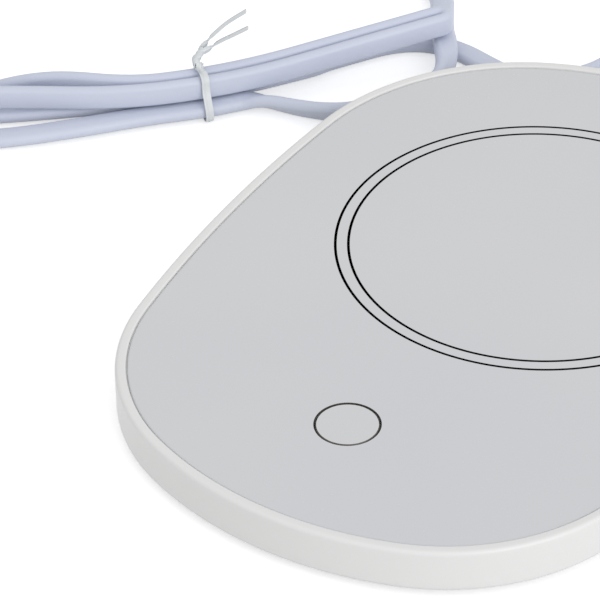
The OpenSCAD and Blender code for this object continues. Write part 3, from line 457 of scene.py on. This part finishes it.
# half widths of the strip: flat as far as the wire's ridge, round over the wire
ridge_w, wire_w, wire_side_h, strip_edge = 0.34, 0.2, 0.19, 0.06


def at_tie(along, across, height):
    """From along, across and height at the tie to the model's axes."""
    t = math.radians(tie_heading)
    return Vector((tie_at[0] + along*math.cos(t) - across*math.sin(t),
                   tie_at[1] + along*math.sin(t) + across*math.cos(t), height))


def spaced(points, step):
    """The points again, evenly spaced along a smooth curve through them."""
    curve = np.array(smooth(points, curve_steps))
    along = np.r_[0, np.cumsum(np.linalg.norm(np.diff(curve, axis=0), axis=1))]
    at = np.linspace(0, along[-1], max(2, int(along[-1]/step)))
    return np.stack([np.interp(at, along, curve[:, k]) for k in range(3)], axis=1)


def strand(phase, end):
    """One end of the strip: up through the knot as one of two strands, and out."""
    line = spaced(knot_line, knot_step)
    places, widths = [], []
    for k, p in enumerate(line):
        share = k/(len(line) - 1)
        turn = phase + 2*math.pi*knot_turns*share
        ahead = Vector(line[min(k + 1, len(line) - 1)] - line[max(k - 1, 0)]).normalized()
        level = Vector((0, 0, 1)) if abs(ahead.z) < 0.9 else Vector((1, 0, 0))
        side = ahead.cross(level).normalized()
        over = ahead.cross(side)
        out = math.cos(turn)*side + math.sin(turn)*over
        places.append(Vector(p) + knot_r*out)
        widths.append(ahead.cross(out))
    tail = spaced([tuple(places[-1])] + end, tail_step)[1:]
    last, flat = widths[-1], Vector(tail_flat)
    if last.dot(flat) < 0:
        flat.negate()
    for k, p in enumerate(tail):
        share = eased(k/tail_turn_steps)
        places.append(Vector(p))
        widths.append(((1 - share)*last + share*flat).normalized())
    return places, widths


def strip_rings(places, widths):
    """Rings of the strip's section: thin edges, and the wire as a round ridge between."""
    half = strip_w/2
    ridge = [(-wire_w, wire_side_h), (0, wire_t/2), (wire_w, wire_side_h)]
    section = ([(-half, 0), (-half + strip_edge, strip_t/2), (-ridge_w, strip_t/2)] + ridge
               + [(ridge_w, strip_t/2), (half - strip_edge, strip_t/2)])
    section += [(-a, -b) for a, b in section]
    rings = []
    for k, (p, wide) in enumerate(zip(places, widths)):
        ahead = (places[min(k + 1, len(places) - 1)] - places[max(k - 1, 0)]).normalized()
        wide = (wide - wide.dot(ahead)*ahead).normalized()
        thick = ahead.cross(wide)
        rings.append([p + a*wide + b*thick for a, b in section])
    return rings


band = [(0, a, h) for a, h in band_half[::-1]][:-1] + [(0, -a, h) for a, h in band_half]
band_places = [Vector(p) for p in spaced(band, band_step)]
band_widths = [Vector((1, 0, 0))]*len(band_places)
first_places, first_widths = strand(0, tie_ends[0])
second_places, second_widths = strand(math.pi, tie_ends[1])
tie_places = first_places[::-1] + band_places + second_places
tie_widths = [-w for w in first_widths[::-1]] + band_widths + second_widths
for k in range(1, len(tie_widths)):
    if tie_widths[k].dot(tie_widths[k - 1]) < 0:
        tie_widths[k] = -tie_widths[k]
tie_rings = [[at_tie(*p) for p in ring] for ring in strip_rings(tie_places, tie_widths)]
twist_strip = piece_from("twist_strip", *skin(tie_rings), sharp_angle=50)
tie_plastic = finish(
    "tie_plastic", (0.76, 0.79, 0.81), (0.71, 0.74, 0.76), (0.35, 0.5), slow=200, fine=4000,
    relief=0.00003)
wear(twist_strip, tie_plastic)
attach(twist_strip, "body")
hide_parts("twist_tie")

# ---- Housing ----
# The egg-shaped wall with its rounded rim, moulded in white plastic in one shot. Inside it
# has the ledge that carries the plate, and six bosses with ribs for the base's screws.
body_l, body_w = 168, 125
widest_from_back, back_r, back_corner_r = 65, 75, 53
side_r, front_corner_r, front_r = 340, 46, 77
wall_t, ledge_w, ledge_t = 2.2, 4, 1.5
wall_z0, rim_z = (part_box("housing")[k].z/mm for k in (0, 1))
plate_z0, plate_z1 = (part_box("top_plate")[k].z/mm for k in (0, 1))
base_z1, gasket_t = 3.6, 0.4
outline_step = 0.8


def inner_touch(c1, r1, c2, r2, r, turn):
    """Centre of an arc of radius r that touches two larger arcs from inside."""
    a, b, d = r1 - r, r2 - r, math.dist(c1, c2)
    ex, ey = (c2[0] - c1[0])/d, (c2[1] - c1[1])/d
    along = (a*a - b*b + d*d)/(2*d)
    off = turn*math.sqrt(a*a - along*along)
    return c1[0] + along*ex - off*ey, c1[1] + along*ey + off*ex


def angle_to(a, b):
    """The direction from a to b, in degrees."""
    return math.degrees(math.atan2(b[1] - a[1], b[0] - a[0])) % 360


def body_arcs():
    """The outline's tangent arcs, as centre, radius, first angle and sweep, from the back."""
    back_c, front_c = (0, body_l/2 - back_r), (0, front_r - body_l/2)
    side_c = (side_r - body_w/2, body_l/2 - widest_from_back)
    rear_c = inner_touch(back_c, back_r, side_c, side_r, back_corner_r, 1)
    fore_c = inner_touch(front_c, front_r, side_c, side_r, front_corner_r, -1)
    back_turn, side_turn = angle_to(back_c, rear_c), angle_to(side_c, rear_c)
    side_stop, front_turn = angle_to(side_c, fore_c), angle_to(front_c, fore_c)
    left = [(rear_c, back_corner_r, back_turn, side_turn - back_turn),
            (side_c, side_r, side_turn, side_stop - side_turn),
            (fore_c, front_corner_r, side_stop, front_turn - side_stop)]
    right = [((-c[0], c[1]), r, 180 - a - s, s) for c, r, a, s in left[::-1]]
    return ([(back_c, back_r, 180 - back_turn, 2*(back_turn - 90))] + left
            + [(front_c, front_r, front_turn, 2*(270 - front_turn))] + right)


def rim_point(arc, share, inset):
    """The place at a share of an arc of the outline, inset towards the arc's centre."""
    (x, y), r, first, sweep = arc
    a = math.radians(first + share*sweep)
    return x + (r - inset)*math.cos(a), y + (r - inset)*math.sin(a)


arcs = body_arcs()


def outline(inset):
    """The body's outline, inset by a distance, from the back and counter-clockwise."""
    points = []
    for arc in arcs:
        n = math.ceil(arc[1]*math.radians(arc[3])/outline_step)
        points += [rim_point(arc, k/n, inset) for k in range(n)]
    return points


def arc_steps(x, z, r, first, last, steps):
    """Points (inset, height) on an arc about (x, z), between two angles in degrees."""
    turns = [math.radians(first + (last - first)*k/steps) for k in range(steps + 1)]
    return [(x + r*math.cos(t), z + r*math.sin(t)) for t in turns]


def outline_loft(levels, closed=False):
    """A skin through the outline at each (inset, height), from the top down."""
    return skin([[(x, y, z) for x, y in outline(inset)] for inset, z in levels], closed)


def drum(x, y, r, z0, z1, sides=48):
    """An upright cylinder's points and faces."""
    rings = [[(x + r*math.cos(2*math.pi*k/sides), y + r*math.sin(2*math.pi*k/sides), z)
              for k in range(sides)] for z in (z0, z1)]
    return skin(rings)


def block(middle, size, turn=0):
    """A box, its middle and its size, turned about its upright axis."""
    c, s = math.cos(turn), math.sin(turn)
    rings = []
    for z in (-1, 1):
        corners = [(size[0]/2*i, size[1]/2*j) for i, j in ((-1, -1), (1, -1), (1, 1), (-1, 1))]
        rings.append([(middle[0] + x*c - y*s, middle[1] + x*s + y*c, middle[2] + z*size[2]/2)
                      for x, y in corners])
    return skin(rings)


def together(name, shapes):
    """Several closed shapes as one piece."""
    points, faces = [], []
    for shape_points, shape_faces in shapes:
        faces += [tuple(k + len(points) for k in f) for f in shape_faces]
        points += shape_points
    return piece_from(name, points, faces)


def join_and_cut(piece, added, removed):
    """Joins shapes to the piece and cuts others out of it, and leaves it one clean mesh."""
    tools = []
    for shapes, operation in ((added, "UNION"), (removed, "DIFFERENCE")):
        for shape in shapes:
            tool = piece_from("tool", *shape)
            boolean = piece.modifiers.new("cut", "BOOLEAN")
            boolean.operation, boolean.solver, boolean.object = operation, "EXACT", tool
            tools.append(tool)
    depsgraph = bpy.context.evaluated_depsgraph_get()
    mesh = bpy.data.meshes.new_from_object(piece.evaluated_get(depsgraph))
    piece.modifiers.clear()
    piece.data = mesh
    for tool in tools:
        bpy.data.objects.remove(tool)
    shade(mesh)


rim_r, rim_inner_r, bottom_r = 0.8, 0.3, 1.0
ledge_z1 = plate_z0 - gasket_t
ledge_z0 = ledge_z1 - ledge_t
ledge_inset = wall_t + ledge_w
# a narrow flat beside each round keeps the wide faces flat where they are shaded
wall_profile = (
    arc_steps(rim_r, rim_z - rim_r, rim_r, 90, 180, 8)
    + [(0, rim_z - rim_r - 0.5), (0, wall_z0 + bottom_r + 0.5)]
    + arc_steps(bottom_r, wall_z0 + bottom_r, bottom_r, 180, 270, 6)
    + [(bottom_r + 0.3, wall_z0), (wall_t, wall_z0), (wall_t, ledge_z0), (ledge_inset, ledge_z0),
       (ledge_inset, ledge_z1), (wall_t, ledge_z1)]
    + arc_steps(wall_t - rim_inner_r, rim_z - rim_inner_r, rim_inner_r, 0, 90, 4)
    + [(rim_r + 0.2, rim_z)])
housing_shell = piece_from("housing_shell", *outline_loft(wall_profile, closed=True))

boss_r, boss_inset, rib_t = 3.2, 8, 1.6
thread_hole_r, thread_hole_sides = 1.2, 24
base_pad_h, boss_gap = 1.0, 0.1
boss_z0, boss_z1 = base_z1 + base_pad_h + boss_gap, ledge_z1 - 0.02
# each screw stands at a share of the way along one of the outline's arcs
corner_share = 0.25
screw_arcs = [(1, 0.5), (2, 0.5), (3, corner_share), (5, 1 - corner_share), (6, 0.5), (7, 0.5)]
bosses, ribs, thread_holes = [], [], []
for k, share in screw_arcs:
    x, y = rim_point(arcs[k], share, boss_inset)
    turn = math.radians(arcs[k][2] + share*arcs[k][3])
    bosses.append(drum(x, y, boss_r, boss_z0, boss_z1))
    rib_l, rib_h = boss_inset - wall_t/2, ledge_z0 + 0.5 - boss_z0
    ribs.append(block((x + rib_l/2*math.cos(turn), y + rib_l/2*math.sin(turn), boss_z0 + rib_h/2),
                      (rib_l, rib_t, rib_h), turn))
    thread_holes.append(
        drum(x, y, thread_hole_r, boss_z0 - 1, ledge_z1 - 1, thread_hole_sides))
# the sleeve's neck passes through the wall, and its flange drops into a pocket from below
relief_gap, flange_gap = 0.1, 0.05
exit_hole = block(
    (0, wall_back - ledge_inset/2, exit_place[2]),
    (relief_neck[0] + 2*relief_gap, ledge_inset + 2, relief_neck[1] + 2*relief_gap))
pocket_y0, pocket_y1 = wall_back - ledge_inset - 1, relief_flange_y + flange_gap
pocket_z1 = exit_place[2] + relief_neck[1]/2 + relief_gap
flange_pocket = block(
    (0, (pocket_y0 + pocket_y1)/2, (wall_z0 + pocket_z1)/2),
    (relief_flange_w + 2*relief_gap, pocket_y1 - pocket_y0, pocket_z1 - wall_z0))
join_and_cut(housing_shell, bosses + ribs, thread_holes + [exit_hole, flange_pocket])
housing_white = finish(
    "housing_white", (0.80, 0.80, 0.795), (0.78, 0.78, 0.775), (0.30, 0.42), slow=25, fine=3500,
    relief=0.000015)
wear(housing_shell, housing_white)
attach(housing_shell, "body")
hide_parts("housing")

# ---- Warming plate ----
# A flat aluminium plate with a smooth light grey coating. It lies in the rim on a silicone
# gasket, a little below the rim's top, and has a round hole for the push button.
plate_inset, plate_bevel = 2.45, 0.35
ring_centre, ring_radii, ring_w, ink_t = (0, 18.2), (42, 39.3), 0.58, 0.06
ring_sides = 360
button_at, button_hole_r, button_hole_sides = (0, -52.5), 6.65, 128
# the hole's wall has painted shade, dark brown, down to this depth, where it narrows by a hair
edge_depth, edge_step = 0.6, 0.01
plate_profile = (
    [(plate_inset + 3, plate_z1), (plate_inset + plate_bevel + 0.3, plate_z1)]
    + arc_steps(plate_inset + plate_bevel, plate_z1 - plate_bevel, plate_bevel, 90, 180, 5)
    + [(plate_inset, plate_z0)])
warming_plate = piece_from("warming_plate", *outline_loft(plate_profile))


def printed_line(r, w, z0, z1):
    """A flat ring of radius r and width w, as points and faces."""
    turns = [2*math.pi*k/ring_sides for k in range(ring_sides)]
    rings = [[(ring_centre[0] + q*math.cos(t), ring_centre[1] + q*math.sin(t), z) for t in turns]
             for q, z in ((r + w/2, z1), (r + w/2, z0), (r - w/2, z0), (r - w/2, z1))]
    return skin(rings, closed=True)


join_and_cut(
    warming_plate, [],
    [drum(*button_at, r, z0, plate_z1 + 1, button_hole_sides)
     for r, z0 in ((button_hole_r - edge_step, plate_z0 - 1),
                   (button_hole_r, plate_z1 - edge_depth))]
    + [printed_line(r, ring_w, plate_z1 - ink_t, plate_z1 + 1) for r in ring_radii])
# its slow grain turns the grey towards cool blue in broad clouds: a painted reflection
plate_grey_and_reflection = finish(
    "plate_grey_and_reflection", (0.71, 0.705, 0.70), (0.60, 0.62, 0.66), (0.22, 0.30), slow=9, fine=900,
    relief=0.000004)
wear(warming_plate, plate_grey_and_reflection)
# painted shade: a dark brown that stands in for the shade in the gap round the button
gap_shade_brown = finish(
    "gap_shade_brown", (0.09, 0.083, 0.072), (0.13, 0.12, 0.105), (0.3, 0.45), slow=500, fine=6000)


def paint_gap_shade(piece, inner_r, outer_r):
    """Faces at these distances from the button's axis get painted shade: a dark brown."""
    piece.data.materials.append(gap_shade_brown)
    for face in piece.data.polygons:
        corners = [piece.data.vertices[k].co/mm for k in face.vertices]
        middle = sum(corners, Vector())/len(corners)
        if inner_r < math.dist(middle[:2], button_at) < outer_r:
            face.material_index = 1


paint_gap_shade(warming_plate, button_hole_r - edge_step/2, button_hole_r + 0.05)
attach(warming_plate, "body")
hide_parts("top_plate")

# ---- Printed rings ----
# Two thin lines of black heat-proof ink, screen printed on the plate round the heated
# zone and baked. They lie flush in its coating.
printed_rings = together(
    "printed_rings", [printed_line(r, ring_w, plate_z1 - ink_t, plate_z1) for r in ring_radii])
print_black = finish(
    "print_black", (0.02, 0.02, 0.022), (0.04, 0.04, 0.042), (0.35, 0.5), slow=800, fine=6000,
    relief=0.000003)
wear(printed_rings, print_black)
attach(printed_rings, "body")
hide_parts("ring_print")

# ---- Push button ----
# A round cap in the plate's light grey, moulded with a wide flange below the plate that
# keeps it in its guide. It presses the plunger of the switch on the board.
button_grey = finish(
    "button_grey", (0.665, 0.67, 0.68), (0.645, 0.655, 0.67), (0.24, 0.32), slow=40, fine=1500,
    relief=0.000004)
wear(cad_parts["button_cap"], button_grey)
# the cap's bevelled edge and side are painted dark, as painted shade of the gap round it
cap_flat_r, cap_r = 6.08, 6.4
paint_gap_shade(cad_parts["button_cap"], cap_flat_r, cap_r)
plunger_cream = finish(
    "plunger_cream", (0.72, 0.68, 0.52), (0.66, 0.62, 0.47), (0.4, 0.5), slow=300, fine=4000)
wear(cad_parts["switch_plunger"], plunger_cream)
guide_black = finish(
    "guide_black", (0.02, 0.02, 0.022), (0.03, 0.03, 0.032), (0.4, 0.55), slow=200, fine=3000)
wear(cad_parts["button_guide"], guide_black)
switch_black = finish(
    "switch_black", (0.012, 0.012, 0.013), (0.02, 0.02, 0.02), (0.35, 0.5), slow=400, fine=5000)
wear(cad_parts["switch_body"], switch_black)

# ---- Base cover, feet and screws ----
# The base is moulded in the housing's white plastic and closes it from below. Six screws
# hold it, and four grey rubber feet are pressed into its round seats.
wear(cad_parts["base_cover"], housing_white)
foot_grey = finish(
    "foot_grey", (0.30, 0.30, 0.305), (0.26, 0.26, 0.265), (0.6, 0.8), slow=150, fine=2500,
    relief=0.00006)
wear(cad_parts["rubber_feet"], foot_grey)
screw_zinc = finish(
    "screw_zinc", (0.56, 0.57, 0.58), (0.48, 0.49, 0.51), (0.25, 0.42), slow=500, fine=6000,
    metallic=1)
for name in ("base_screws", "clamp_plate_screws", "board_screws", "cord_clamp_screws"):
    wear(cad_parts[name], screw_zinc)

# ---- Seal ----
# A light grey silicone seal lies on the housing's ledge, under the plate's edge. Its thin lip
# stands up in the gap round the plate and keeps spills out.
seal_in, lip_in, lip_out = ledge_inset - 0.3, 2.43, 2.22
lip_z1, lip_edge = plate_z1 - 0.3, (0.05, 0.06)
seal_z0, seal_z1 = ledge_z1 + 0.01, plate_z0 - 0.01
seal_profile = [(lip_out + lip_edge[0], lip_z1), (lip_out, lip_z1 - lip_edge[1]),
                (lip_out, seal_z0), (seal_in, seal_z0), (seal_in, seal_z1), (lip_in, seal_z1),
                (lip_in, lip_z1 - lip_edge[1]), (lip_in - lip_edge[0], lip_z1)]
plate_seal = piece_from("plate_seal", *outline_loft(seal_profile, closed=True))
seal_silicone = finish(
    "seal_silicone", (0.68, 0.68, 0.68), (0.64, 0.64, 0.64), (0.5, 0.65), slow=80, fine=2000)
wear(plate_seal, seal_silicone)
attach(plate_seal, "body")
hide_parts("plate_gasket")

# ---- Heater ----
# Below the plate lie an aluminium spreader, an amber heating film, a fibre pad and the
# steel plate that presses them up, with a fuse and a sensor in the pad.
heater_finishes = {
    "heat_spreader": finish("spreader_aluminium", (0.72, 0.73, 0.74), (0.66, 0.67, 0.68),
                            (0.25, 0.4), slow=120, fine=3000, metallic=1, stretch=(14, 1, 1)),
    "heating_element": finish("element_film", (0.62, 0.32, 0.06), (0.52, 0.25, 0.04),
                              (0.2, 0.35), slow=150, fine=1500),
    "insulation_pad": finish("pad_fibre", (0.74, 0.72, 0.65), (0.62, 0.60, 0.53), (0.8, 0.95),
                             slow=300, fine=1200, relief=0.0002),
    "clamp_plate": finish("clamp_steel", (0.60, 0.61, 0.62), (0.50, 0.51, 0.53), (0.28, 0.45),
                          slow=150, fine=4000, metallic=1, stretch=(1, 14, 1)),
    "thermal_fuse": finish("fuse_ceramic", (0.80, 0.79, 0.74), (0.74, 0.73, 0.68), (0.2, 0.35),
                           slow=400, fine=3000),
    "temperature_sensor": finish("sensor_glass", (0.30, 0.10, 0.04), (0.22, 0.07, 0.03),
                                 (0.08, 0.2), slow=500, fine=3000)}
for name, material in heater_finishes.items():
    wear(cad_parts[name], material)

# ---- Circuit board and wires ----
# A single-sided laminate board with a green mask carries the controller, the supply parts,
# the lamp and the switch. Silicone and vinyl wires are soldered to its edge, and a black
# clamp is screwed over the lead where it comes in.
board_finishes = {
    "control_board": finish("board_green", (0.03, 0.22, 0.07), (0.02, 0.16, 0.05), (0.25, 0.4),
                            slow=400, fine=2500),
    "board_chips": finish("chip_resin", (0.012, 0.012, 0.013), (0.03, 0.03, 0.03), (0.5, 0.7),
                          slow=900, fine=8000),
    "film_capacitor": finish("capacitor_yellow", (0.60, 0.42, 0.04), (0.52, 0.36, 0.03),
                             (0.25, 0.4), slow=300, fine=3000),
    "status_led": finish("lamp_white", (0.85, 0.85, 0.76), (0.80, 0.80, 0.70), (0.2, 0.3),
                         slow=500, fine=3000),
    "mains_wires": finish("wire_brown", (0.16, 0.08, 0.04), (0.13, 0.06, 0.03), (0.35, 0.5),
                          slow=300, fine=3000),
    "heater_wires": finish("wire_silicone", (0.80, 0.79, 0.77), (0.74, 0.73, 0.71), (0.5, 0.65),
                           slow=300, fine=3000)}
for name, material in board_finishes.items():
    wear(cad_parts[name], material)
wear(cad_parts["inner_cord"], lead_vinyl)
wear(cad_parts["cord_clamp"], guide_black)

# ---- Table and light ----
# The warmer stands on a plain white table in an evenly lit white room, with one large soft
# light to the right of it and a little in front.
table_half, table_below = 4.0, 0.02
paper_tone, paper_glow, room_glow = 0.72, 0.55, 0.75


def studio_white():
    """White paper: pure white to the camera and in reflections, but it keeps shadows."""
    material = bpy.data.materials.new("studio_white")
    material.use_nodes = True
    nodes, link = material.node_tree.nodes, material.node_tree.links.new
    shader = nodes["Principled BSDF"]
    shader.inputs["Base Color"].default_value = (paper_tone, paper_tone, paper_tone, 1)
    shader.inputs["Roughness"].default_value = 0.9
    shader.inputs["Specular IOR Level"].default_value = 0
    rays, seen, seen_through = (nodes.new(n) for n in (
        "ShaderNodeLightPath", "ShaderNodeMath", "ShaderNodeMath"))
    for node in (seen, seen_through):
        node.operation = "MAXIMUM"
    link(rays.outputs["Is Camera Ray"], seen.inputs[0])
    link(rays.outputs["Is Glossy Ray"], seen.inputs[1])
    link(seen.outputs[0], seen_through.inputs[0])
    link(rays.outputs["Is Transmission Ray"], seen_through.inputs[1])
    lift = nodes.new("ShaderNodeMath")
    lift.operation = "MULTIPLY"
    lift.inputs[1].default_value = paper_glow
    link(seen_through.outputs[0], lift.inputs[0])
    shader.inputs["Emission Color"].default_value = (1, 1, 1, 1)
    link(lift.outputs[0], shader.inputs["Emission Strength"])
    return material


table_corners = ((-1, -1), (1, -1), (1, 1), (-1, 1))
table = piece_from(
    "table", [(x*table_half/mm, y*table_half/mm, -table_below) for x, y in table_corners],
    [(0, 1, 2, 3)])
wear(table, studio_white())

world = bpy.context.scene.world or bpy.data.worlds.new("studio")
bpy.context.scene.world = world
world.use_nodes = True
sky = world.node_tree.nodes["Background"]
sky.inputs["Color"].default_value = (1, 1, 1, 1)
sky.inputs["Strength"].default_value = room_glow


def soft_light(name, place, aim, size, power):
    """A square soft light that points at a place, all in metres and watts."""
    light = bpy.data.lights.new(name, "AREA")
    light.shape, light.size, light.energy = "SQUARE", size, power
    lamp = bpy.data.objects.new(name, light)
    lamp.location = place
    lamp.rotation_euler = (Vector(aim) - Vector(place)).to_track_quat("-Z", "Y").to_euler()
    bpy.context.scene.collection.objects.link(lamp)


soft_light("light_at_right", place=(1.85, -0.7, 1.15), aim=(0, 0, 0), size=1.6, power=20)
